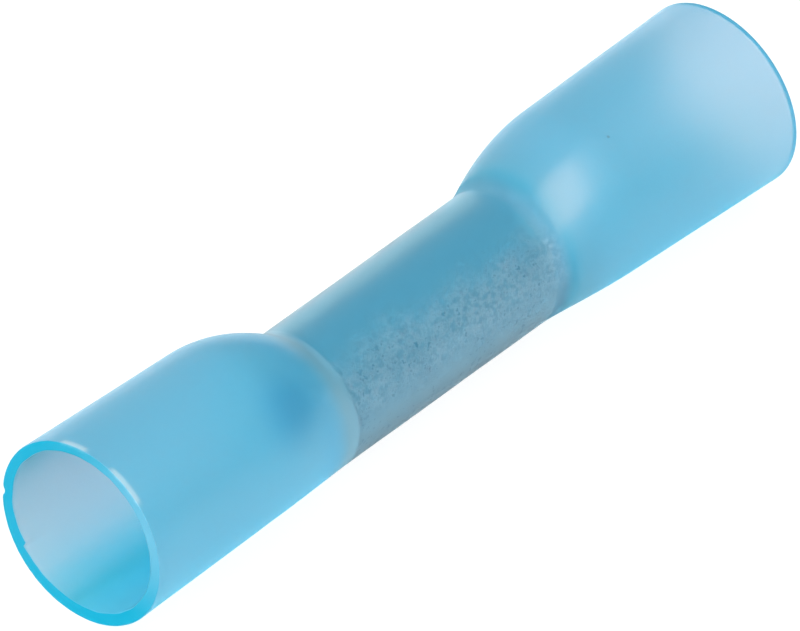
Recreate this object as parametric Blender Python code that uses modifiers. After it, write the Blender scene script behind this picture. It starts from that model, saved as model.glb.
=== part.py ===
"""Heat-shrink butt splice connector for 1.5 to 2.5 mm2 wires.

A blue plastic sleeve is shrunk at its middle onto a short tinned copper barrel,
with a film of melted sealing adhesive between the two. Both ends of the sleeve
are still open and wide, ready to take the wires. The connector lies along X as it
rests on a bench. The origin is at the middle of the footprint, and +Z is up.
"""

import math

import bmesh
import bpy
from mathutils import Matrix, Vector

MM = 0.001

# Sleeve, as cut from one length of tube
MOUTH_OD = 7.00 * MM          # across either cut end
CREST_OD = 6.60 * MM          # the open ends narrow to this where the shoulders begin
WALL = 0.45 * MM              # wall of the open, unshrunk ends
SHRUNK_WALL = 0.52 * MM       # the same plastic, thicker where it has shrunk
NEAR_OPEN = 11.05 * MM        # cut end to the foot of the shoulder, -X side
FAR_OPEN = 11.20 * MM         # the same, +X side
SHOULDER_LENGTH = 3.80 * MM   # each dome between the shrunk waist and an open end
FOOT_FILLET = 0.36 * MM       # half length of the hollow curve where a dome meets the waist
NEAR_DROP = 0.86 * MM         # waist centre line below the open ends' centre line
FAR_DROP = 0.60 * MM          # the same at the +X foot, so the barrel lies askew
CUT_SLANT = math.radians(2.5)           # the -X end is cut this far off square
CUT_SLANT_TOWARD = math.radians(131.0)  # the side cut back most, turned from +Y towards +Z
CUT_ROUND = 0.05 * MM         # softened edges of both cuts

# Barrel
BARREL_OD = 3.90 * MM
BARREL_BORE = 2.30 * MM
BARREL_LENGTH = 11.40 * MM
GRIP_INSET = 0.50 * MM        # each foot of the sleeve's waist lies this far in from the barrel's end
BARREL_CHAMFER = 0.22 * MM    # lead-in at the mouth of each wire bore
BARREL_ROUND = 0.10 * MM      # rounded outer corners
STOP_BALL_OD = 1.90 * MM      # punch that presses the wire stop in from below
STOP_DEPTH = 1.00 * MM        # how deep the punch goes
STOP_WALL = 0.55 * MM         # metal left over the punch's tip

# Sealing adhesive
FILM = 0.09 * MM              # melted film between barrel and sleeve
FILM_OVERHANG = 0.25 * MM     # how far it was squeezed out past each foot
SEAT = 0.03 * MM              # gap kept between skins that touch on the real part

# Facets
SEGMENTS = 48                 # round every turned surface
SHOULDER_RINGS = 8
FILLET_RINGS = 4
CONE_RINGS = 3
WAIST_RINGS = 4

WAIST_LENGTH = BARREL_LENGTH - 2 * GRIP_INSET   # foot to foot, where the sleeve grips the barrel
LENGTH = NEAR_OPEN + WAIST_LENGTH + FAR_OPEN
NEAR_END = -LENGTH / 2
NEAR_FOOT = NEAR_END + NEAR_OPEN
FAR_FOOT = NEAR_FOOT + WAIST_LENGTH
FAR_END = LENGTH / 2
AXIS_HEIGHT = MOUTH_OD / 2
FILM_INNER = BARREL_OD / 2 + SEAT
SLEEVE_BORE_WAIST = FILM_INNER + FILM + SEAT
WAIST_RADIUS = SLEEVE_BORE_WAIST + SHRUNK_WALL
BARREL_TILT = math.atan2(NEAR_DROP - FAR_DROP, WAIST_LENGTH)
BARREL_CENTRE = Vector((
    (NEAR_FOOT + FAR_FOOT) / 2,
    0.0,
    AXIS_HEIGHT - (NEAR_DROP + FAR_DROP) / 2,
))


def clear_scene():
    for obj in list(bpy.data.objects):
        bpy.data.objects.remove(obj, do_unlink=True)


def new_collection(name):
    collection = bpy.data.collections.new(name)
    bpy.context.scene.collection.children.link(collection)
    return collection


def openness(x):
    """0 in the shrunk waist, 1 in the open ends, a dome in between with a hollow foot."""
    beyond_foot = max(NEAR_FOOT - x, x - FAR_FOOT)
    if beyond_foot < -FOOT_FILLET:
        return 0.0
    if beyond_foot < FOOT_FILLET:
        beyond_foot = (beyond_foot + FOOT_FILLET) ** 2 / (4 * FOOT_FILLET)
    share = min(beyond_foot / SHOULDER_LENGTH, 1.0)
    return 1.0 - (1.0 - share) ** 2


def open_radius(x):
    """Outer radius of the open end, a slight cone that is widest at the cut."""
    if x < (NEAR_FOOT + FAR_FOOT) / 2:
        share = (x - NEAR_END) / (NEAR_OPEN - SHOULDER_LENGTH)
    else:
        share = (FAR_END - x) / (FAR_OPEN - SHOULDER_LENGTH)
    return (MOUTH_OD + (CREST_OD - MOUTH_OD) * share) / 2


def outer_radius(x):
    return WAIST_RADIUS + (open_radius(x) - WAIST_RADIUS) * openness(x)


def inner_radius(x):
    wall = SHRUNK_WALL + (WALL - SHRUNK_WALL) * openness(x)
    return outer_radius(x) - wall


def barrel_drop(x):
    """How far the barrel's centre line lies below that of the open ends."""
    return NEAR_DROP + (FAR_DROP - NEAR_DROP) * (x - NEAR_FOOT) / WAIST_LENGTH


def sleeve_drop(x):
    """The sleeve's own centre line, which leaves the barrel's past each foot."""
    return barrel_drop(x) * (1.0 - openness(x))


def even_steps(start, end, count):
    return [start + (end - start) * i / count for i in range(count)]


def shoulder_steps(foot, crest):
    """Stations from the foot's fillet to the crest, closer together where it is steep."""
    outward = math.copysign(1.0, crest - foot)
    fillet = even_steps(foot - outward * FOOT_FILLET, foot + outward * FOOT_FILLET, FILLET_RINGS)
    start = foot + outward * FOOT_FILLET
    dome = [start + (crest - start) * (i / SHOULDER_RINGS) ** 1.3 for i in range(SHOULDER_RINGS)]
    return fillet + dome


def sleeve_stations():
    near_crest = NEAR_FOOT - SHOULDER_LENGTH
    far_crest = FAR_FOOT + SHOULDER_LENGTH
    near_cone = even_steps(NEAR_END, near_crest, CONE_RINGS) + [near_crest]
    near_shoulder = shoulder_steps(NEAR_FOOT, near_crest)[::-1]
    waist = even_steps(NEAR_FOOT + FOOT_FILLET, FAR_FOOT - FOOT_FILLET, WAIST_RINGS)[1:]
    far_shoulder = shoulder_steps(FAR_FOOT, far_crest)
    far_cone = even_steps(far_crest, FAR_END, CONE_RINGS) + [FAR_END]
    return near_cone + near_shoulder + waist + far_shoulder + far_cone


def turned_mesh(name, outline):
    """Turn a closed outline of (x, radius) points about the X axis."""
    bm = bmesh.new()
    corners = [bm.verts.new((x, 0.0, radius)) for x, radius in outline]
    edges = [bm.edges.new((a, b)) for a, b in zip(corners, corners[1:] + corners[:1])]
    bmesh.ops.spin(
        bm, geom=corners + edges, cent=(0, 0, 0), axis=(1, 0, 0),
        angle=math.tau, steps=SEGMENTS, use_merge=True,
    )
    bmesh.ops.remove_doubles(bm, verts=bm.verts, dist=0.001 * MM)
    bmesh.ops.recalc_face_normals(bm, faces=bm.faces)
    mesh = bpy.data.meshes.new(name)
    bm.to_mesh(mesh)
    bm.free()
    return mesh


def add_object(name, mesh, collection, material=None):
    obj = bpy.data.objects.new(name, mesh)
    collection.objects.link(obj)
    if material:
        mesh.materials.append(material)
    return obj


def smooth(mesh, degrees):
    mesh.shade_smooth()
    mesh.set_sharp_from_angle(angle=math.radians(degrees))


def plastic(name, colour, roughness, alpha, transmission):
    material = bpy.data.materials.new(name)
    material.use_nodes = True
    shader = material.node_tree.nodes["Principled BSDF"]
    shader.inputs["Base Color"].default_value = (*colour, 1.0)
    shader.inputs["Roughness"].default_value = roughness
    shader.inputs["Alpha"].default_value = alpha
    shader.inputs["Transmission Weight"].default_value = transmission
    material.diffuse_color = (*colour, alpha)
    return material


def tinned_copper():
    material = bpy.data.materials.new("tinned_copper")
    material.use_nodes = True
    shader = material.node_tree.nodes["Principled BSDF"]
    shader.inputs["Base Color"].default_value = (0.66, 0.67, 0.68, 1.0)
    shader.inputs["Metallic"].default_value = 1.0
    shader.inputs["Roughness"].default_value = 0.38
    material.diffuse_color = (0.66, 0.67, 0.68, 1.0)
    return material


def slant_cut(mesh):
    """Cut the -X end back from NEAR_END, by nothing at one side and most at the other."""
    toward = Vector((0.0, math.cos(CUT_SLANT_TOWARD), math.sin(CUT_SLANT_TOWARD)))
    for vertex in mesh.vertices:
        if vertex.co.x < NEAR_END + CUT_ROUND:
            reach = MOUTH_OD / 2 + vertex.co.dot(toward)
            vertex.co.x += reach * math.tan(CUT_SLANT)


def build_sleeve(collection):
    stations = sleeve_stations()
    outline = [(x, outer_radius(x)) for x in stations]
    outline += [(x, inner_radius(x)) for x in reversed(stations)]
    mesh = turned_mesh("heat_shrink_sleeve", outline)
    slant_cut(mesh)
    for vertex in mesh.vertices:
        vertex.co.z += AXIS_HEIGHT - sleeve_drop(vertex.co.x)
    smooth(mesh, 40)
    colour = (0.15, 0.53, 0.75)
    sleeve = add_object("heat_shrink_sleeve", mesh, collection, plastic("blue_sleeve", colour, 0.3, 0.6, 0.5))
    edges = sleeve.modifiers.new("cut edges", "BEVEL")
    edges.width = CUT_ROUND
    edges.segments = 2
    edges.limit_method = "ANGLE"
    edges.angle_limit = math.radians(60)
    return sleeve


def build_adhesive(collection):
    """Fills the space from barrel to sleeve, so its ends swell where the sleeve lifts off."""
    waist = even_steps(NEAR_FOOT + FOOT_FILLET, FAR_FOOT - FOOT_FILLET, WAIST_RINGS)
    stations = [NEAR_FOOT - FILM_OVERHANG, NEAR_FOOT, *waist]
    stations += [FAR_FOOT - FOOT_FILLET, FAR_FOOT, FAR_FOOT + FILM_OVERHANG]
    outline = [(x, inner_radius(x) - SEAT) for x in stations]
    outline += [(x, FILM_INNER) for x in reversed(stations)]
    mesh = turned_mesh("sealing_adhesive", outline)
    for vertex in mesh.vertices:
        x, y, z = vertex.co
        on_barrel = math.hypot(y, z) < FILM_INNER + SEAT / 2
        vertex.co.z += AXIS_HEIGHT - (barrel_drop(x) if on_barrel else sleeve_drop(x))
    smooth(mesh, 40)
    colour = (0.45, 0.66, 0.74)
    return add_object("sealing_adhesive", mesh, collection, plastic("clear_adhesive", colour, 0.5, 0.5, 0.4))


def barrel_outline():
    """One closed section: bore with a lead-in at each mouth, rounded outer corners."""
    half = BARREL_LENGTH / 2
    outer = BARREL_OD / 2
    bore = BARREL_BORE / 2
    corner = [(math.sin(a) * BARREL_ROUND, math.cos(a) * BARREL_ROUND) for a in (0.0, math.pi / 4, math.pi / 2)]
    right = [(half - BARREL_ROUND + x, outer - BARREL_ROUND + r) for x, r in corner]
    right += [(half, bore + BARREL_CHAMFER), (half - BARREL_CHAMFER, bore)]
    left = [(-x, r) for x, r in reversed(right)]
    return right + left


def ball(name, diameter, collection):
    bm = bmesh.new()
    bmesh.ops.create_uvsphere(bm, u_segments=24, v_segments=12, radius=diameter / 2)
    mesh = bpy.data.meshes.new(name)
    bm.to_mesh(mesh)
    bm.free()
    return add_object(name, mesh, collection)


def as_cutter(obj):
    obj.hide_render = True
    obj.display_type = "WIRE"


def boolean(target, operation, tool):
    modifier = target.modifiers.new(tool.name, "BOOLEAN")
    modifier.operation = operation
    modifier.object = tool
    modifier.solver = "EXACT"


def build_stop_tools(cutters):
    """The pushed-in metal over the punch, kept inside the barrel's wall, and the punch."""
    punch_centre = Vector((0.0, 0.0, -BARREL_OD / 2 + STOP_DEPTH - STOP_BALL_OD / 2))
    limit_mesh = bpy.data.meshes.new("stop_limit")
    bm = bmesh.new()
    bmesh.ops.create_cone(
        bm, cap_ends=True, segments=SEGMENTS, radius1=(BARREL_OD + BARREL_BORE) / 4,
        radius2=(BARREL_OD + BARREL_BORE) / 4, depth=2 * STOP_BALL_OD,
        matrix=Matrix.Rotation(math.pi / 2, 4, "Y"),
    )
    bm.to_mesh(limit_mesh)
    bm.free()
    limit = add_object("stop_limit", limit_mesh, cutters)
    metal = ball("stop_metal", STOP_BALL_OD + 2 * STOP_WALL, cutters)
    punch = ball("stop_punch", STOP_BALL_OD, cutters)
    metal.location = punch_centre
    punch.location = punch_centre
    boolean(metal, "INTERSECT", limit)
    for tool in (limit, metal, punch):
        as_cutter(tool)
    return limit, metal, punch


def build_barrel(collection, cutters):
    mesh = turned_mesh("crimp_barrel", barrel_outline())
    smooth(mesh, 35)
    barrel = add_object("crimp_barrel", mesh, collection, tinned_copper())
    limit, metal, punch = build_stop_tools(cutters)
    for tool in (limit, metal, punch):
        tool.parent = barrel
    boolean(barrel, "UNION", metal)
    boolean(barrel, "DIFFERENCE", punch)
    barrel.location = BARREL_CENTRE
    barrel.rotation_euler.y = -BARREL_TILT
    return barrel


def main():
    clear_scene()
    parts = new_collection("butt_splice_connector")
    cutters = new_collection("cutters")
    build_sleeve(parts)
    build_adhesive(parts)
    build_barrel(parts, cutters)


main()
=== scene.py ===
"""Looks of a heat-shrink butt splice connector.

A blue see-through sleeve, wide at both ends and shrunk in the middle, grips a tinned barrel.
A film of melted adhesive fills the gap between them.
All lengths are metres. The connector lies along X on a floor at Z = 0, its near end towards -X.
"""

import math

import bmesh
import bpy
from mathutils import Matrix, Quaternion, Vector, noise


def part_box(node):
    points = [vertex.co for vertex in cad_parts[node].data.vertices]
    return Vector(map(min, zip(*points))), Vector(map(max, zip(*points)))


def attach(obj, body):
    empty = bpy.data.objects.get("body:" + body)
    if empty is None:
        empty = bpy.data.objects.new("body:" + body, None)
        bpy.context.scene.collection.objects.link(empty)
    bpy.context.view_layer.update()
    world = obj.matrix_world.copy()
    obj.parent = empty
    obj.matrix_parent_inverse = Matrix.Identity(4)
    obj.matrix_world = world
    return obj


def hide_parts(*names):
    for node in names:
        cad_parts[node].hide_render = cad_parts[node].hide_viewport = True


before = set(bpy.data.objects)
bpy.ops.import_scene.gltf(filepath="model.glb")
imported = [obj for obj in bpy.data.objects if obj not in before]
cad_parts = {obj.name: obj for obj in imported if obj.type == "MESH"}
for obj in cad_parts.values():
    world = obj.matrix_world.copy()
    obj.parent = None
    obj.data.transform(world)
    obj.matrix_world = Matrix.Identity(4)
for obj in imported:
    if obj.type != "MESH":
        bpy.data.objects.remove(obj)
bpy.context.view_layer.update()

MM = 0.001

# Places read from the frame
sleeve_low, sleeve_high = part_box("heat_shrink_sleeve")
film_low, film_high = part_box("sealing_adhesive")
NEAR_END = sleeve_low.x
FAR_END = sleeve_high.x
AXIS_HEIGHT = (sleeve_low.z + sleeve_high.z) / 2
MOUTH_RADIUS = (sleeve_high.z - sleeve_low.z) / 2

# Sleeve
CREST_RADIUS = 3.30 * MM        # the open ends narrow to this where the shoulders begin
WAIST_RADIUS = 2.62 * MM
WALL = 0.45 * MM
SHRUNK_WALL = 0.52 * MM
SHOULDER_LENGTH = 3.80 * MM
FOOT_FILLET = 0.36 * MM         # half length of the hollow curve where a dome meets the waist
NEAR_DROP = 0.86 * MM           # how far the waist's centre line lies below that of the open ends
FAR_DROP = 0.60 * MM
THICK_SIDE = math.radians(285.0)    # the bore of the open ends is a little off centre
BORE_OFFSET = 0.07 * MM
LUMP_SIZE = 2.2 * MM            # slow unevenness left by the shrinking
LUMP_HEIGHT = 0.012 * MM
SLEEVE_SEGMENTS = 192

# Cut ends of the sleeve; angles turn from +Y towards +Z
CUT_SLANT = math.radians(2.5)
CUT_SLANT_TOWARD = math.radians(131.0)
CUT_ROUND = 0.05 * MM
CUT_GRAIN = 0.010 * MM
CUT_GRAIN_SIZE = 0.25 * MM
RIM_UNEVEN = 0.03 * MM          # waviness of the inner edge of the cut
RIM_WAVE = 0.6 * MM
END_ZONE = 0.60 * MM            # the rows are fine this close to a cut, for the blade's marks
BLADE_MARKS_END = 6 * END_ZONE
SLIVER_ANGLE = math.radians(-34.0)  # a sliver stands inwards past here, a bite is missing before
SLIVER_HEIGHT = 0.14 * MM
BITE_DEPTH = 0.08 * MM
SLIVER_REACH = math.radians(11.0)
SLIVER_LENGTH = 0.30 * MM       # how far it fades along the tube
NICK_ANGLE = math.radians(1.0)
NICK_HALF_WIDTH = math.radians(2.4)
NICK_DEPTH = 0.12 * MM
NICK_LENGTH = 0.18 * MM
RIM_HIGHLIGHT_STRETCHES = (              # painted highlight just outside the near cut, where its rounded edge catches the light
    (math.radians(76.0), math.radians(90.0)),
    (math.radians(112.0), math.radians(133.0)),
)
RIM_HIGHLIGHT_ENDS = math.radians(3.5)   # how softly a stretch of painted highlight begins and ends
RIM_HIGHLIGHT_REACH = 0.30 * MM
RIM_HIGHLIGHT_START = 0.05 * MM
RIM_HIGHLIGHT_SKIN = (-0.12 * MM, -0.04 * MM)    # only this close to the outside, measured outwards from it
LIT_CUT_ANGLE = math.radians(150.0)    # painted light: the cut is paler on this side
LIT_CUT_REACH = math.radians(80.0)

# Adhesive film
FILM_OVERHANG = 0.25 * MM       # the film reaches this far past each foot of the waist
SEAT = 0.03 * MM                # clearance of the film from the sleeve and from the barrel

# Barrel
BARREL_RADIUS = 1.95 * MM
BORE_RADIUS = 1.15 * MM
BARREL_LENGTH = 11.40 * MM
BORE_CHAMFER = 0.22 * MM
CORNER_ROUND = 0.10 * MM
PUNCH_RADIUS = 0.95 * MM        # round tool that presses the wire stop in from below
PUNCH_DEPTH = 1.00 * MM
STOP_WALL = 0.55 * MM
STOP_REACH = 2.0 * MM           # the rows are fine this close to the middle
BARREL_SEGMENTS = 128

# Spacing of the rows of the meshes
CUT_ROWS = 0.08 * MM            # along the sleeve, close to a cut
OPEN_ROWS = 0.45 * MM
SHOULDER_ROWS = 0.12 * MM
WAIST_ROWS = 0.30 * MM
WALL_ROWS = 0.09 * MM           # across the wall at a cut
FILM_ROWS = 0.15 * MM
STOP_ROWS = 0.08 * MM           # around the wire stop
SAME_POINT = 0.001 * MM         # points closer than this are merged
RIM_FOLD = math.radians(60)     # the rims of the cuts fold more than this
CUT_SQUARENESS = (0.75, 0.98)   # a face that looks along X by this much belongs to a cut

NEAR_FOOT = film_low.x + FILM_OVERHANG
FAR_FOOT = film_high.x - FILM_OVERHANG
NEAR_CREST = NEAR_FOOT - SHOULDER_LENGTH
FAR_CREST = FAR_FOOT + SHOULDER_LENGTH
FILM_INNER = BARREL_RADIUS + SEAT
MEAN_DROP = (NEAR_DROP + FAR_DROP) / 2

# Sleeve plastic: glass is the colour that light takes going through, milk that of its cloudiness
OPEN_GLASS = (0.79, 0.64, 0.63, 1.0)
CONTACT_SHADE_GLASS = (0.29, 0.52, 0.49, 1.0)   # painted shade: a deeper tint along the line that the sleeve lies on, where the floor beneath is in its shadow
SHRUNK_GLASS = (0.36, 0.69, 0.80, 1.0)
OPEN_MILK = (0.09, 0.48, 0.72, 1.0)
# painted shade: the inner side of the open ends is darker, away from the line it lies on
INSIDE_SHADE_MILK = (0.0, 0.27, 0.38, 1.0)
DOME_MILK = (0.03, 0.40, 0.64, 1.0)
# painted shade in the hollow at the far foot, and painted light higher on the far dome, greyer than the
# near dome under its highlight
FAR_FOOT_SHADE_MILK = (0.0, 0.29, 0.42, 1.0)
FAR_DOME_LIGHT_MILK = (0.12, 0.36, 0.48, 1.0)
MOUTH_SHADE_MILK = (0.04, 0.30, 0.50, 1.0)   # painted shade: the barrel's dark mouth as seen through the wall from one side
# dark teal over the waist: partly the plastic's own tint, partly painted reflection of the tin under
# clear adhesive
WET_MILK_AND_REFLECTION = (0.11, 0.31, 0.43, 1.0)
FROST_DARK = (0.10, 0.23, 0.32, 1.0)
FROST_PALE = (0.28, 0.41, 0.50, 1.0)
# painted shade on the waist's underside
UNDERSIDE_SHADE_MILK = (0.14, 0.24, 0.32, 1.0)
# painted highlight: a pale arc along the hollow foot of the near dome
FOOT_HIGHLIGHT_MILK = (0.20, 0.39, 0.49, 1.0)
SPECK_MILK = (0.03, 0.14, 0.23, 1.0)
CUT_MILK = (0.0, 0.32, 0.48, 1.0)
LIT_CUT_MILK = (0.11, 0.39, 0.55, 1.0)
# painted highlight on the rounded edge of the near cut
RIM_HIGHLIGHT_MILK = (0.60, 0.85, 0.95, 1.0)
OPEN_CLOUD = 0.36               # share of milk
DOME_CLOUD = 0.36
SHRUNK_CLOUD = 0.20
FROST_CLOUD = 0.34
MOUTH_SHADE_CLOUD = 0.50
SPECK_CLOUD = 0.36
FOOT_HIGHLIGHT_CLOUD = 0.44
CUT_CLOUD = 0.85
CLOUD_UNEVEN = 0.03
CONTACT_SHADE_SIDE = (0.0, -0.42, -0.91)   # from the axis towards that line of painted shade
CONTACT_SHADE_FADED = 2.50 * MM
CONTACT_SHADE_FULL = 2.95 * MM
WAIST_FADE = (0.02, 0.30)       # from here on as openness: 0 in the shrunk waist, 1 in the open ends
WIDE_FADE = (0.45, 1.0)
FOOT_BAND = (0.0, 0.02, 0.12, 0.30)
FOOT_HIGHLIGHT_BAND = (0.0, 0.03, 0.06, 0.85)
FAR_DOME_FADE = (0.15, 0.50)
BARREL_FADE = (0.0, 0.02)
SLEEVE_ROUGH = 0.28
INNER_ROUGH = 0.55              # on the inner side of the wall
WETTED_ROUGH = 0.03             # where the adhesive has wetted it from inside
FOOT_ROUGH = 0.70               # in the hollow curve at the foot of the far dome
PLASTIC_IOR = 1.50
SHADOW_TINT = (0.36, 0.90, 0.97, 1.0)
MOUTH_SHADE_X = -8.3 * MM             # middle of the patch of painted shade in the near shoulder
MOUTH_SHADE_ANGLE = math.radians(140.0)
MOUTH_SHADE_CORE = 0.20 * MM
MOUTH_SHADE_EDGE = 2.10 * MM
DUST_X = 9.0 * MM               # one dark bit in the far end's wall
DUST_ANGLE = math.radians(113.8)
DUST_RADIUS = 0.07 * MM

# Frosted adhesive, seen through the waist on its front and underside
FROST_SIDE = (0.0, -0.758, -0.653)
FROST_LINE = -1.00 * MM         # measured from the middle of the waist towards that side
FROST_FADE = 1.6 * MM
FROST_END = 2.20 * MM
FROST_END_FADE = 0.6 * MM
FROST_BEYOND = 0.5              # share of the frost left past its end
UNDERSIDE_SHADE_BEGIN = 1.30 * MM         # the painted shade on the underside begins and is full here, measured the same way
UNDERSIDE_SHADE_FULL = 2.30 * MM
LOBE_REACH = 2.4 * MM
MOTTLE_LOW = 0.36
MOTTLE_HIGH = 0.64
SPECK_BEGIN = 0.750
SPECK_FULL = 0.870
# dark teal: painted reflection of the tin under the clear adhesive
WET_FILM_REFLECTION = (0.15, 0.31, 0.38, 1.0)
FROST_FILM = (0.29, 0.33, 0.36, 1.0)
SPECK_FILM = (0.03, 0.12, 0.16, 1.0)
WET_ROUGH = 0.30
FROST_ROUGH = 0.75

# Noises: features per millimetre, detail and roughness
FROST_LOBES = (0.6, 6.0, 0.62)
FROST_MOTTLE = (5.0, 3.0, 0.65)
SPECK_GROUPS = (0.9, 2.0, 0.50)
SPECK_GRIME = (5.0, 3.0, 0.62)
WALL_GRAIN = (9.0, 3.0, 0.50)
CLOUD_DRIFT = (0.3, 0.0, 0.50)
DRAWN_LINES = (7.0, 3.0, 0.60)
DULL_PATCHES = (1.2, 4.0, 0.60)
GROUPED = 0.35                  # how much the specks keep together in groups

# Tinned barrel
TIN = (0.60, 0.61, 0.62, 1.0)
TIN_DULL = (0.50, 0.51, 0.53, 1.0)
BORE_TIN = (0.03, 0.05, 0.07, 1.0)   # in the shade of the wire bore
TIN_SMOOTH = 0.32
TIN_ROUGH = 0.44

# Camera, aimed so that the connector lies across the picture as in the photograph
IMAGE_WIDTH = 800
VIEW_AZIMUTH = math.radians(-48.09)
VIEW_ELEVATION = math.radians(38.20)
VIEW_DISTANCE = 860 * MM
FOCAL_PIXELS = 25354.0          # focal length, in pixels of a picture of that width
SENSOR_WIDTH = 36.0
AIM_POINT = Vector((0.073, 0.0, 3.5)) * MM
AIM_RIGHT = 0.134 * MM
AIM_UP = 0.150 * MM

# Studio
FLOOR = 0.95
FLOOR_HALF = 3.0
GLOW = 1.10                     # how bright the floor looks as a background
GLOW_SEEN = 0.80                # share of that glow seen directly
GLOW_THROUGH = 0.04             # seen through the sleeve
GLOW_MIRRORED = 0.10            # seen in reflections
ZENITH = 0.55
HORIZON = 1.00
BRIGHT_BACK = 1.30
BACK_FADE = (-0.2, 0.8)
DIM_SIDE = 0.30
SIDE_FADE = (0.3, 0.9)
LAMP_DISTANCE = 400 * MM
BOX_DIRECTION = (-0.13, -0.54, 0.83)
BOX_SIZE = (130 * MM, 300 * MM)
BOX_ENERGY = 0.36
STRIP_DIRECTION = (-0.11, -0.47, 0.87)   # seen in reflections only
STRIP_SIZE = (190 * MM, 430 * MM)
STRIP_LEAN = math.radians(6.0)
STRIP_ENERGY = 2.10
STRIP_COLOUR = (1.0, 0.57, 0.35)
CARD_DIRECTION = (-0.30, -0.90, 0.33)
CARD_SIZE = (250 * MM, 250 * MM)
CARD_ENERGY = 0.80
TOP_DIRECTION = (-0.40, 0.35, 0.85)
TOP_ENERGY = 1.22


# Shape of the sleeve along X

def smoothstep(low, high, value):
    share = min(max((value - low) / (high - low), 0.0), 1.0)
    return share * share * (3.0 - 2.0 * share)


def turned_past(angle, start):
    """Signed angle from start to angle, from -pi to pi."""
    return (angle - start + math.pi) % math.tau - math.pi


def openness(x):
    """0 in the shrunk waist, 1 in the open ends, a dome in between with a hollow foot."""
    beyond_foot = max(NEAR_FOOT - x, x - FAR_FOOT)
    if beyond_foot < -FOOT_FILLET:
        return 0.0
    if beyond_foot < FOOT_FILLET:
        beyond_foot = (beyond_foot + FOOT_FILLET) ** 2 / (4 * FOOT_FILLET)
    share = min(beyond_foot / SHOULDER_LENGTH, 1.0)
    return 1.0 - (1.0 - share) ** 2


def open_radius(x):
    """Outer radius that an open end has, or would have further in."""
    if x < (NEAR_FOOT + FAR_FOOT) / 2:
        share = (x - NEAR_END) / (NEAR_CREST - NEAR_END)
    else:
        share = (FAR_END - x) / (FAR_END - FAR_CREST)
    return MOUTH_RADIUS + (CREST_RADIUS - MOUTH_RADIUS) * share


def outer_radius(x):
    return WAIST_RADIUS + (open_radius(x) - WAIST_RADIUS) * openness(x)


def inner_radius(x):
    return outer_radius(x) - SHRUNK_WALL - (WALL - SHRUNK_WALL) * openness(x)


def barrel_drop(x):
    return NEAR_DROP + (FAR_DROP - NEAR_DROP) * (x - NEAR_FOOT) / (FAR_FOOT - NEAR_FOOT)


def sleeve_drop(x):
    return barrel_drop(x) * (1.0 - openness(x))


def even_steps(start, end, spacing):
    count = max(1, round(abs(end - start) / spacing))
    return [start + (end - start) * i / count for i in range(count + 1)]


def sleeve_stations():
    """Rows along the sleeve: close together at the cuts and in the shoulders."""
    stretches = (
        (NEAR_END, NEAR_END + END_ZONE, CUT_ROWS),
        (NEAR_END + END_ZONE, NEAR_CREST, OPEN_ROWS),
        (NEAR_CREST, NEAR_FOOT + FOOT_FILLET, SHOULDER_ROWS),
        (NEAR_FOOT + FOOT_FILLET, FAR_FOOT - FOOT_FILLET, WAIST_ROWS),
        (FAR_FOOT - FOOT_FILLET, FAR_CREST, SHOULDER_ROWS),
        (FAR_CREST, FAR_END - END_ZONE, OPEN_ROWS),
        (FAR_END - END_ZONE, FAR_END, CUT_ROWS),
    )
    stations = [NEAR_END]
    for start, end, spacing in stretches:
        stations += even_steps(start, end, spacing)[1:]
    return stations


# Mesh and node helpers

def turned(outline, segments):
    """A closed shell made by turning (x, radius) points about the X axis."""
    bm = bmesh.new()
    corners = [bm.verts.new((x, 0.0, radius)) for x, radius in outline]
    edges = [bm.edges.new(pair) for pair in zip(corners, corners[1:] + corners[:1])]
    bmesh.ops.spin(
        bm, geom=corners + edges, cent=(0, 0, 0), axis=(1, 0, 0),
        angle=math.tau, steps=segments, use_merge=True,
    )
    bmesh.ops.remove_doubles(bm, verts=bm.verts, dist=SAME_POINT)
    bmesh.ops.recalc_face_normals(bm, faces=bm.faces)
    return bm


def finished_piece(name, bm, material, sharp_degrees):
    mesh = bpy.data.meshes.new(name)
    bm.to_mesh(mesh)
    bm.free()
    mesh.materials.append(material)
    mesh.shade_smooth()
    mesh.set_sharp_from_angle(angle=math.radians(sharp_degrees))
    piece = bpy.data.objects.new(name, mesh)
    bpy.context.scene.collection.objects.link(piece)
    return piece


def mark_points(mesh, name, value_at):
    """A named value on every point of a mesh, worked out from where the point is."""
    layer = mesh.attributes.new(name, "FLOAT", "POINT")
    for index, vertex in enumerate(mesh.vertices):
        layer.data[index].value = value_at(vertex.co)


def new_material(name):
    material = bpy.data.materials.new(name)
    material.use_nodes = True
    return material, material.node_tree, material.node_tree.nodes["Principled BSDF"]


def node(tree, kind, inputs=None, **settings):
    """A new node whose inputs are given as plain values or as outputs of other nodes."""
    made = tree.nodes.new(kind)
    for key, value in settings.items():
        setattr(made, key, value)
    for key, value in (inputs or {}).items():
        if isinstance(value, bpy.types.NodeSocket):
            tree.links.new(value, made.inputs[key])
        else:
            made.inputs[key].default_value = value
    return made


def blend(tree, factor, first, second):
    """A colour between two, each a colour or an output of another node."""
    mix = node(tree, "ShaderNodeMix", {"Factor": factor}, data_type="RGBA")
    for socket, value in ((mix.inputs["A"], first), (mix.inputs["B"], second)):
        if isinstance(value, bpy.types.NodeSocket):
            tree.links.new(value, socket)
        else:
            socket.default_value = value
    return mix.outputs["Result"]


def arithmetic(tree, operation, *values):
    inputs = dict(enumerate(values))
    return node(tree, "ShaderNodeMath", inputs, operation=operation).outputs[0]


def vector_math(tree, operation, output, *values):
    inputs = dict(enumerate(values))
    return node(tree, "ShaderNodeVectorMath", inputs, operation=operation).outputs[output]


def ranged(tree, value, low, high, to_low=0.0, to_high=1.0, shape="SMOOTHSTEP"):
    """A value carried over from one range to another, and held at its ends."""
    inputs = {"Value": value, "From Min": low, "From Max": high, "To Min": to_low, "To Max": to_high}
    return node(tree, "ShaderNodeMapRange", inputs, interpolation_type=shape).outputs[0]


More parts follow.
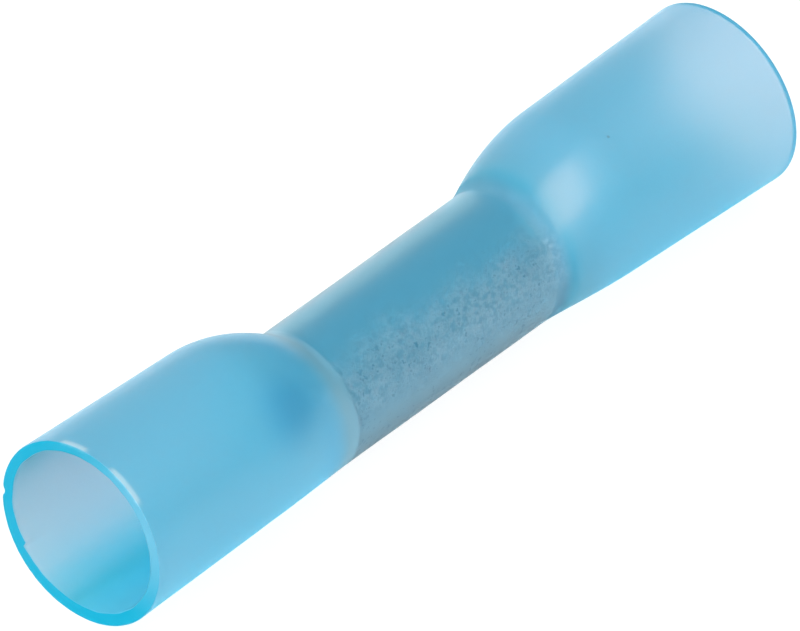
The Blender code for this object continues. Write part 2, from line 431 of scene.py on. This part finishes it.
def fractal(tree, place, kind):
    """Fractal noise of one of the kinds named above."""
    per_mm, detail, roughness = kind
    inputs = {"Vector": place, "Scale": per_mm / MM, "Detail": detail, "Roughness": roughness}
    return node(tree, "ShaderNodeTexNoise", inputs).outputs["Fac"]


def bumped(tree, height, strength, depth):
    """The surface's direction, ruffled by a noise of small height."""
    inputs = {"Height": height, "Strength": strength, "Distance": depth}
    return node(tree, "ShaderNodeBump", inputs).outputs["Normal"]


def attribute(tree, name):
    return node(tree, "ShaderNodeAttribute", attribute_name=name).outputs["Fac"]


def object_place(tree):
    return node(tree, "ShaderNodeTexCoord").outputs["Object"]


# Materials

def rise_and_fall(tree, amount, begin, full, ending, end):
    """0 up to begin, 1 from full to ending and 0 again from end on."""
    rise = ranged(tree, amount, begin, full)
    fall = ranged(tree, amount, ending, end, 1.0, 0.0)
    return arithmetic(tree, "MULTIPLY", rise, fall)


def frost_and_specks(tree, place):
    """Where the adhesive is frosted, its mottling, its dark specks, and the painted shade where it faces
    down.
    """
    centred = vector_math(tree, "SUBTRACT", 0, place, (0.0, 0.0, AXIS_HEIGHT - MEAN_DROP))
    side = vector_math(tree, "DOT_PRODUCT", "Value", centred, FROST_SIDE)
    lobes = arithmetic(tree, "SUBTRACT", fractal(tree, place, FROST_LOBES), 0.5)
    shifted = arithmetic(tree, "MULTIPLY_ADD", lobes, LOBE_REACH, side)
    begun = ranged(tree, shifted, FROST_LINE, FROST_LINE + FROST_FADE)
    not_ended = ranged(tree, side, FROST_END - FROST_END_FADE, FROST_END, 1.0, FROST_BEYOND)
    frosted = arithmetic(tree, "MULTIPLY", begun, not_ended)
    mottle = ranged(tree, fractal(tree, place, FROST_MOTTLE), MOTTLE_LOW, MOTTLE_HIGH)
    groups = fractal(tree, place, SPECK_GROUPS)
    grime = fractal(tree, place, SPECK_GRIME)
    level = arithmetic(tree, "MULTIPLY_ADD", groups, GROUPED, grime)
    specks = arithmetic(tree, "MULTIPLY", ranged(tree, level, SPECK_BEGIN, SPECK_FULL), begun)
    underside_shade = ranged(tree, side, UNDERSIDE_SHADE_BEGIN, UNDERSIDE_SHADE_FULL)
    return frosted, mottle, specks, underside_shade


def spot(tree, place, x, angle, core, edge):
    """1 within the core radius around a point of the sleeve's outside, fading to 0 at the edge."""
    radius = outer_radius(x)
    y = radius * math.cos(angle)
    z = AXIS_HEIGHT - sleeve_drop(x) + radius * math.sin(angle)
    distance = vector_math(tree, "DISTANCE", "Value", place, (x, y, z))
    return ranged(tree, distance, core, edge, 1.0, 0.0)


def sleeve_plastic():
    """Blue see-through plastic, cloudy where it is still wide and clearer where it has shrunk."""
    material, tree, shader = new_material("blue_sleeve_plastic")
    place = object_place(tree)
    cut_face = attribute(tree, "cut_face")
    lit_cut = attribute(tree, "lit_cut")
    rim_highlight = attribute(tree, "rim_highlight")
    open_end = attribute(tree, "open_end")
    wetted = attribute(tree, "wetted")
    inner_side = attribute(tree, "inner_side")
    waist = ranged(tree, open_end, *WAIST_FADE, 1.0, 0.0)
    wide = ranged(tree, open_end, *WIDE_FADE)

    # Masks for where the colour or the surface changes
    # Painted shade along the line that the sleeve lies on
    from_axis = vector_math(tree, "SUBTRACT", 0, place, (0.0, 0.0, AXIS_HEIGHT))
    lying = vector_math(tree, "DOT_PRODUCT", "Value", from_axis, CONTACT_SHADE_SIDE)
    lying = ranged(tree, lying, CONTACT_SHADE_FADED, CONTACT_SHADE_FULL)
    along = node(tree, "ShaderNodeSeparateXYZ", {0: place}).outputs["X"]
    at_far_end = ranged(tree, along, 0.0, FAR_FOOT / 2)
    at_near_end = arithmetic(tree, "SUBTRACT", 1.0, at_far_end)
    foot = rise_and_fall(tree, open_end, *FOOT_BAND)
    far_foot = arithmetic(tree, "MULTIPLY", foot, at_far_end)
    # A painted highlight along the hollow foot of the near dome
    fold = rise_and_fall(tree, open_end, *FOOT_HIGHLIGHT_BAND)
    foot_highlight = arithmetic(tree, "MULTIPLY", fold, at_near_end)
    # Painted shade on the inner side of the open ends
    upright = arithmetic(tree, "SUBTRACT", 1.0, lying)
    upright_inside = arithmetic(tree, "MULTIPLY", upright, inner_side)
    shaded_inside = arithmetic(tree, "MULTIPLY", wide, upright_inside)
    # Painted shade on the near shoulder, where the barrel's dark mouth would show through
    mouth_shade = spot(tree, place, MOUTH_SHADE_X, MOUTH_SHADE_ANGLE, MOUTH_SHADE_CORE, MOUTH_SHADE_EDGE)
    dust = spot(tree, place, DUST_X, DUST_ANGLE, DUST_RADIUS / 2, DUST_RADIUS)
    frost, mottle, specks, underside_shade = frost_and_specks(tree, place)
    frost = arithmetic(tree, "MULTIPLY", frost, waist)
    underside_shade = arithmetic(tree, "MULTIPLY", underside_shade, waist)
    on_barrel = ranged(tree, open_end, *BARREL_FADE, 1.0, 0.0)
    specks = arithmetic(tree, "MULTIPLY", specks, on_barrel)
    dark_bits = arithmetic(tree, "MAXIMUM", specks, dust)

    # Clear part of the wall
    glass = blend(tree, lying, OPEN_GLASS, CONTACT_SHADE_GLASS)
    glass = blend(tree, wide, SHRUNK_GLASS, glass)
    tree.links.new(glass, shader.inputs["Base Color"])
    roughness = ranged(tree, far_foot, 0.0, 1.0, SLEEVE_ROUGH, FOOT_ROUGH)
    roughness = ranged(tree, inner_side, 0.0, 1.0, roughness, INNER_ROUGH)
    roughness = ranged(tree, wetted, 0.0, 1.0, roughness, WETTED_ROUGH)
    tree.links.new(roughness, shader.inputs["Roughness"])
    shader.inputs["Transmission Weight"].default_value = 1.0
    shader.inputs["IOR"].default_value = PLASTIC_IOR
    grain = bumped(tree, fractal(tree, place, WALL_GRAIN), 0.15, 0.02 * MM)
    tree.links.new(grain, shader.inputs["Normal"])

    # Its cloudiness
    # Painted shade at the far foot, painted light higher on the far dome
    far_shade_and_light = blend(tree, ranged(tree, open_end, *FAR_DOME_FADE), FAR_FOOT_SHADE_MILK, FAR_DOME_LIGHT_MILK)
    dome_milk = blend(tree, at_far_end, DOME_MILK, far_shade_and_light)
    frost_milk = blend(tree, mottle, FROST_DARK, FROST_PALE)
    cut_milk = blend(tree, lit_cut, CUT_MILK, LIT_CUT_MILK)
    colour = blend(tree, wide, dome_milk, OPEN_MILK)
    colour = blend(tree, shaded_inside, colour, INSIDE_SHADE_MILK)
    colour = blend(tree, mouth_shade, colour, MOUTH_SHADE_MILK)
    colour = blend(tree, waist, colour, WET_MILK_AND_REFLECTION)
    colour = blend(tree, frost, colour, frost_milk)
    colour = blend(tree, underside_shade, colour, UNDERSIDE_SHADE_MILK)
    colour = blend(tree, foot_highlight, colour, FOOT_HIGHLIGHT_MILK)
    colour = blend(tree, dark_bits, colour, SPECK_MILK)
    colour = blend(tree, cut_face, colour, cut_milk)
    colour = blend(tree, rim_highlight, colour, RIM_HIGHLIGHT_MILK)
    milk = node(tree, "ShaderNodeBsdfDiffuse", {"Color": colour, "Normal": grain}).outputs[0]

    drift = fractal(tree, place, CLOUD_DRIFT)
    uneven = ranged(tree, drift, 0.0, 1.0, -CLOUD_UNEVEN, CLOUD_UNEVEN, "LINEAR")
    cloud = ranged(tree, wide, 0.0, 1.0, DOME_CLOUD, OPEN_CLOUD)
    cloud = arithmetic(tree, "ADD", cloud, uneven)
    cloud = ranged(tree, mouth_shade, 0.0, 1.0, cloud, MOUTH_SHADE_CLOUD)
    cloud = ranged(tree, waist, 0.0, 1.0, cloud, SHRUNK_CLOUD)
    cloud = ranged(tree, frost, 0.0, 1.0, cloud, FROST_CLOUD)
    cloud = ranged(tree, foot_highlight, 0.0, 1.0, cloud, FOOT_HIGHLIGHT_CLOUD)
    cloud = ranged(tree, dark_bits, 0.0, 1.0, cloud, SPECK_CLOUD)
    cloud = ranged(tree, cut_face, 0.0, 1.0, cloud, CUT_CLOUD)
    body = node(tree, "ShaderNodeMixShader", {0: cloud, 1: shader.outputs[0], 2: milk}).outputs[0]

    # The wall casts a blue shadow
    shadow_ray = node(tree, "ShaderNodeLightPath").outputs["Is Shadow Ray"]
    tint = node(tree, "ShaderNodeBsdfTransparent", {"Color": SHADOW_TINT}).outputs[0]
    surface = node(tree, "ShaderNodeMixShader", {0: shadow_ray, 1: body, 2: tint}).outputs[0]
    tree.links.new(surface, tree.nodes["Material Output"].inputs["Surface"])
    return material


def adhesive_film():
    """Melted adhesive, clear over the top and back of the barrel and frosted over the rest; its dark
    teal over the top and back is painted reflection of the tin beneath.
    """
    material, tree, shader = new_material("adhesive_film")
    place = object_place(tree)
    frost, mottle, specks, underside_shade = frost_and_specks(tree, place)
    colour = blend(tree, frost, WET_FILM_REFLECTION, FROST_FILM)
    colour = blend(tree, specks, colour, SPECK_FILM)
    tree.links.new(colour, shader.inputs["Base Color"])
    tree.links.new(ranged(tree, frost, 0.0, 1.0, WET_ROUGH, FROST_ROUGH), shader.inputs["Roughness"])
    return material


def tinned_metal():
    """Dull tin over copper, with fine lines along the barrel from drawing the tube."""
    material, tree, shader = new_material("tinned_barrel_metal")
    place = object_place(tree)
    stretched = vector_math(tree, "MULTIPLY", 0, place, (0.06, 1.0, 1.0))
    lines = fractal(tree, stretched, DRAWN_LINES)
    patches = fractal(tree, place, DULL_PATCHES)
    dulled = ranged(tree, patches, 0.40, 0.62)
    colour = blend(tree, dulled, TIN, TIN_DULL)
    colour = blend(tree, attribute(tree, "bore"), colour, BORE_TIN)
    tree.links.new(colour, shader.inputs["Base Color"])
    tree.links.new(ranged(tree, dulled, 0.0, 1.0, TIN_SMOOTH, TIN_ROUGH), shader.inputs["Roughness"])
    shader.inputs["Metallic"].default_value = 1.0
    tree.links.new(bumped(tree, lines, 0.25, 0.01 * MM), shader.inputs["Normal"])
    return material


# Sleeve

def wall_growth(angle, from_cut):
    """How far the blade's sliver stands inwards at the near cut; less than 0 where it left a bite."""
    past = turned_past(angle, SLIVER_ANGLE)
    if past > 0:
        mark = SLIVER_HEIGHT * math.exp(-past / SLIVER_REACH)
    else:
        mark = -BITE_DEPTH * math.exp(past / SLIVER_REACH)
    return mark * math.exp(-from_cut / SLIVER_LENGTH)


def nick_depth(angle, from_cut):
    """How deep the small nick in the near cut's outer edge is."""
    width = turned_past(angle, NICK_ANGLE) / NICK_HALF_WIDTH
    return NICK_DEPTH * math.exp(-width * width) * math.exp(-from_cut / NICK_LENGTH)


def shape_sleeve(vertex):
    """Move one point of the evenly turned sleeve to where extrusion, shrinking and the blade left it."""
    x, y, z = vertex.co
    angle = math.atan2(z, y)
    radius = math.hypot(y, z)
    outer = outer_radius(x)
    inward = (outer - radius) / (outer - inner_radius(x))
    from_near = x - NEAR_END
    from_cut = min(from_near, FAR_END - x)
    lump = noise.noise(vertex.co / LUMP_SIZE) * LUMP_HEIGHT
    wave = noise.noise(vertex.co / RIM_WAVE) * RIM_UNEVEN
    radius -= BORE_OFFSET * math.cos(angle - THICK_SIDE) * openness(x) * inward
    radius -= max(lump, 0.0) * (1.0 - inward) + lump * inward
    radius += wave * math.exp(-from_cut / CUT_GRAIN_SIZE) * inward
    if from_near < BLADE_MARKS_END:
        radius -= wall_growth(angle, from_near) * inward
        radius -= nick_depth(angle, from_near) * (1.0 - inward)
    vertex.co.y = radius * math.cos(angle)
    vertex.co.z = radius * math.sin(angle)


def slant_setback(place):
    """How far the slanted cut lies inside the near end, for a place measured from the axis."""
    toward = Vector((0.0, math.cos(CUT_SLANT_TOWARD), math.sin(CUT_SLANT_TOWARD)))
    return (MOUTH_RADIUS + place.dot(toward)) * math.tan(CUT_SLANT)


def slant_cut(vertex):
    """Set the near cut back, by nothing at one side and most at the other, and roughen it."""
    from_cut = vertex.co.x - NEAR_END
    if from_cut < END_ZONE:
        grain = noise.noise(Vector((0.0, vertex.co.y, vertex.co.z)) / CUT_GRAIN_SIZE)
        slide = slant_setback(vertex.co) + (1.0 + grain) * CUT_GRAIN
        vertex.co.x += slide * (1.0 - from_cut / END_ZONE)


def is_inner(place):
    """1 on the inner side of the wall, else 0."""
    x = place.x
    radius = math.hypot(place.y, place.z - AXIS_HEIGHT + sleeve_drop(x))
    return 1.0 if radius < (outer_radius(x) + inner_radius(x)) / 2 else 0.0


def is_wetted(place):
    """1 on the inner side of the wall where the film lies against it, else 0."""
    return is_inner(place) if film_low.x < place.x < film_high.x else 0.0


def rim_highlight_at(place):
    """1 on the stretches of painted highlight just outside the near cut, fading to 0 around them."""
    from_axis = Vector((0.0, place.y, place.z - AXIS_HEIGHT))
    from_cut = place.x - NEAR_END - slant_setback(from_axis)
    if from_cut > RIM_HIGHLIGHT_REACH:
        return 0.0
    angle = math.atan2(from_axis.z, from_axis.y)
    around = 0.0
    for start, end in RIM_HIGHLIGHT_STRETCHES:
        begun = smoothstep(start - RIM_HIGHLIGHT_ENDS, start, angle)
        ended = smoothstep(end, end + RIM_HIGHLIGHT_ENDS, angle)
        around = max(around, begun * (1.0 - ended))
    outside = smoothstep(*RIM_HIGHLIGHT_SKIN, from_axis.length - MOUTH_RADIUS)
    begun = smoothstep(0.0, RIM_HIGHLIGHT_START, from_cut)
    ended = smoothstep(RIM_HIGHLIGHT_REACH / 3, RIM_HIGHLIGHT_REACH, from_cut)
    return around * outside * begun * (1.0 - ended)


def mark_cut_faces(mesh):
    """How much each face belongs to a cut end, and how much painted light pales the cut there."""
    cut = mesh.attributes.new("cut_face", "FLOAT", "CORNER")
    pale = mesh.attributes.new("lit_cut", "FLOAT", "CORNER")
    for face in mesh.polygons:
        across = smoothstep(*CUT_SQUARENESS, abs(face.normal.x))
        angle = math.atan2(face.center.z - AXIS_HEIGHT, face.center.y)
        paler = 1.0 - smoothstep(0.0, LIT_CUT_REACH, abs(turned_past(angle, LIT_CUT_ANGLE)))
        for corner in face.loop_indices:
            cut.data[corner].value = across
            pale.data[corner].value = paler


def make_sleeve(material):
    stations = sleeve_stations()
    across_far = even_steps(outer_radius(FAR_END), inner_radius(FAR_END), WALL_ROWS)[1:-1]
    across_near = even_steps(inner_radius(NEAR_END), outer_radius(NEAR_END), WALL_ROWS)[1:-1]
    outline = [(x, outer_radius(x)) for x in stations]
    outline += [(FAR_END, radius) for radius in across_far]
    outline += [(x, inner_radius(x)) for x in reversed(stations)]
    outline += [(NEAR_END, radius) for radius in across_near]
    bm = turned(outline, SLEEVE_SEGMENTS)
    rims = [edge for edge in bm.edges if edge.calc_face_angle(0.0) > RIM_FOLD]
    bmesh.ops.bevel(
        bm, geom=rims, offset=CUT_ROUND, offset_type="OFFSET", segments=3,
        profile=0.5, affect="EDGES", material=-1,
    )
    for vertex in bm.verts:
        shape_sleeve(vertex)
        slant_cut(vertex)
        vertex.co.z += AXIS_HEIGHT - sleeve_drop(vertex.co.x)
    sleeve = finished_piece("sleeve_shell", bm, material, 180)
    mark_cut_faces(sleeve.data)
    mark_points(sleeve.data, "rim_highlight", rim_highlight_at)
    mark_points(sleeve.data, "open_end", lambda place: openness(place.x))
    mark_points(sleeve.data, "inner_side", is_inner)
    mark_points(sleeve.data, "wetted", is_wetted)
    return sleeve


# Adhesive film

def make_film(material):
    stations = even_steps(film_low.x, film_high.x, FILM_ROWS)
    outline = [(x, inner_radius(x) - SEAT) for x in stations]
    outline += [(x, FILM_INNER) for x in reversed(stations)]
    bm = turned(outline, BARREL_SEGMENTS)
    for vertex in bm.verts:
        x, y, z = vertex.co
        on_barrel = math.hypot(y, z) < FILM_INNER + SEAT / 2
        vertex.co.z += AXIS_HEIGHT - (barrel_drop(x) if on_barrel else sleeve_drop(x))
    return finished_piece("adhesive_skin", bm, material, 40)


# Barrel

def barrel_outline():
    """Rounded outer corners, a chamfered bore, and fine rows around the wire stop."""
    half = BARREL_LENGTH / 2
    right = []
    for step in range(4):
        angle = step * math.pi / 6
        x = half - CORNER_ROUND + math.sin(angle) * CORNER_ROUND
        radius = BARREL_RADIUS - CORNER_ROUND + math.cos(angle) * CORNER_ROUND
        right.append((x, radius))
    right.append((half, BORE_RADIUS + BORE_CHAMFER))
    right.append((half - BORE_CHAMFER, BORE_RADIUS))
    left = [(-x, radius) for x, radius in reversed(right)]
    rows = even_steps(-STOP_REACH, STOP_REACH, STOP_ROWS)
    bore_rows = [(x, BORE_RADIUS) for x in reversed(rows)]
    skin_rows = [(x, BARREL_RADIUS) for x in rows]
    return right + bore_rows + left + skin_rows


def press_stop(vertex):
    """Push one point of the barrel up where the punch presses the wire stop in from below."""
    if vertex.co.z > 0 or abs(vertex.co.x) > STOP_REACH:
        return
    reach = math.hypot(vertex.co.x, vertex.co.y)
    radius = math.hypot(vertex.co.y, vertex.co.z)
    centre = -BARREL_RADIUS + PUNCH_DEPTH - PUNCH_RADIUS
    grown = PUNCH_RADIUS + STOP_WALL
    if radius > BARREL_RADIUS - 0.01 * MM and reach < PUNCH_RADIUS:
        vertex.co.z = max(vertex.co.z, centre + math.sqrt(PUNCH_RADIUS ** 2 - reach ** 2))
    if radius < BORE_RADIUS + 0.01 * MM and reach < grown:
        vertex.co.z = max(vertex.co.z, centre + math.sqrt(grown ** 2 - reach ** 2))


def make_barrel(material):
    bm = turned(barrel_outline(), BARREL_SEGMENTS)
    for vertex in bm.verts:
        press_stop(vertex)
    tilt = math.atan2(NEAR_DROP - FAR_DROP, FAR_FOOT - NEAR_FOOT)
    centre = Vector(((NEAR_FOOT + FAR_FOOT) / 2, 0.0, AXIS_HEIGHT - MEAN_DROP))
    lying = Matrix.Translation(centre) @ Matrix.Rotation(-tilt, 4, "Y")
    bmesh.ops.transform(bm, matrix=lying, verts=bm.verts)
    barrel = finished_piece("barrel_tube", bm, material, 40)
    upright = lying.inverted()

    def inside_bore(place):
        local = upright @ place
        return 1.0 - smoothstep(BORE_RADIUS, BORE_RADIUS + BORE_CHAMFER, math.hypot(local.y, local.z))

    mark_points(barrel.data, "bore", inside_bore)
    return barrel


# Studio

def make_stage():
    """A white floor that still takes the connector's shadow."""
    mesh = bpy.data.meshes.new("pale_floor")
    bm = bmesh.new()
    bmesh.ops.create_grid(bm, x_segments=1, y_segments=1, size=FLOOR_HALF)
    bm.to_mesh(mesh)
    bm.free()
    floor = bpy.data.objects.new("pale_floor", mesh)
    bpy.context.scene.collection.objects.link(floor)
    material, tree, shader = new_material("pale_floor")
    tree.nodes.remove(shader)
    path = node(tree, "ShaderNodeLightPath").outputs
    seen = arithmetic(tree, "MULTIPLY", path["Is Camera Ray"], GLOW_SEEN)
    through = arithmetic(tree, "MULTIPLY", path["Is Transmission Ray"], GLOW_THROUGH)
    mirrored = arithmetic(tree, "MULTIPLY", path["Is Glossy Ray"], path["Is Reflection Ray"])
    mirrored = arithmetic(tree, "MULTIPLY", mirrored, GLOW_MIRRORED)
    share = arithmetic(tree, "MAXIMUM", arithmetic(tree, "MAXIMUM", seen, through), mirrored)
    chalk = node(tree, "ShaderNodeBsdfDiffuse", {"Color": (FLOOR, FLOOR, FLOOR, 1.0)}).outputs[0]
    glow = node(tree, "ShaderNodeEmission", {"Color": (1.0, 1.0, 1.0, 1.0), "Strength": GLOW}).outputs[0]
    surface = node(tree, "ShaderNodeMixShader", {0: share, 1: chalk, 2: glow}).outputs[0]
    tree.links.new(surface, tree.nodes["Material Output"].inputs["Surface"])
    mesh.materials.append(material)


def make_lamp(name, direction, size, energy, lean=0.0):
    """A rectangular soft lamp that faces the connector from the given direction."""
    data = bpy.data.lights.new(name, "AREA")
    data.shape = "RECTANGLE"
    data.size = size[0]
    data.size_y = size[1]
    data.energy = energy
    lamp = bpy.data.objects.new(name, data)
    away = Vector(direction).normalized()
    lamp.location = away * LAMP_DISTANCE
    facing = away.to_track_quat("Z", "Y") @ Quaternion((0.0, 0.0, 1.0), lean)
    lamp.rotation_euler = facing.to_euler()
    bpy.context.scene.collection.objects.link(lamp)
    return lamp


def make_lamps():
    """Three soft lamps light the connector; a warm strip makes the highlight on the far shoulder."""
    soft_box = make_lamp("soft_box", BOX_DIRECTION, BOX_SIZE, BOX_ENERGY)
    front_card = make_lamp("front_card", CARD_DIRECTION, CARD_SIZE, CARD_ENERGY)
    top_card = make_lamp("top_card", TOP_DIRECTION, CARD_SIZE, TOP_ENERGY)
    for lamp in (soft_box, front_card, top_card):
        lamp.visible_glossy = False
    top_card.visible_transmission = False
    strip = make_lamp("warm_strip", STRIP_DIRECTION, STRIP_SIZE, STRIP_ENERGY, STRIP_LEAN)
    strip.data.color = STRIP_COLOUR
    strip.visible_diffuse = False
    strip.visible_transmission = False


def make_world():
    """Even light from all around, brighter low down and behind, dimmer towards +X."""
    world = bpy.data.worlds.new("studio")
    bpy.context.scene.world = world
    world.use_nodes = True
    tree = world.node_tree
    sky = tree.nodes["Background"]
    direction = node(tree, "ShaderNodeTexCoord").outputs["Generated"]
    towards = node(tree, "ShaderNodeSeparateXYZ", {0: direction}).outputs
    level = ranged(tree, towards["Z"], 0.0, 1.0, HORIZON, ZENITH, "LINEAR")
    side = ranged(tree, towards["X"], *SIDE_FADE, 1.0, DIM_SIDE)
    back = ranged(tree, towards["Y"], *BACK_FADE, 1.0, BRIGHT_BACK)
    strength = arithmetic(tree, "MULTIPLY", arithmetic(tree, "MULTIPLY", level, side), back)
    sky.inputs["Color"].default_value = (1.0, 1.0, 1.0, 1.0)
    tree.links.new(strength, sky.inputs["Strength"])


def make_camera():
    right = Vector((math.cos(VIEW_AZIMUTH), math.sin(VIEW_AZIMUTH), 0.0))
    back = Vector((
        math.sin(VIEW_AZIMUTH) * math.cos(VIEW_ELEVATION),
        -math.cos(VIEW_AZIMUTH) * math.cos(VIEW_ELEVATION),
        math.sin(VIEW_ELEVATION),
    ))
    up = back.cross(right)
    aim = AIM_POINT - right * AIM_RIGHT - up * AIM_UP
    data = bpy.data.cameras.new("camera")
    data.sensor_width = SENSOR_WIDTH
    data.lens = FOCAL_PIXELS * SENSOR_WIDTH / IMAGE_WIDTH
    camera = bpy.data.objects.new("camera", data)
    camera.location = aim + back * VIEW_DISTANCE
    camera.rotation_euler = back.to_track_quat("Z", "Y").to_euler()
    bpy.context.scene.collection.objects.link(camera)
    bpy.context.scene.camera = camera


def main():
    bpy.context.scene.view_settings.view_transform = "Standard"
    make_camera()
    make_world()
    make_lamps()
    make_stage()
    pieces = (
        (make_sleeve(sleeve_plastic()), "heat_shrink_sleeve", "blue_sleeve"),
        (make_film(adhesive_film()), "sealing_adhesive", "clear_adhesive"),
        (make_barrel(tinned_metal()), "crimp_barrel", "tinned_copper"),
    )
    for piece, solid, slot in pieces:
        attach(piece, "root")
        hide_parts(solid)


main()
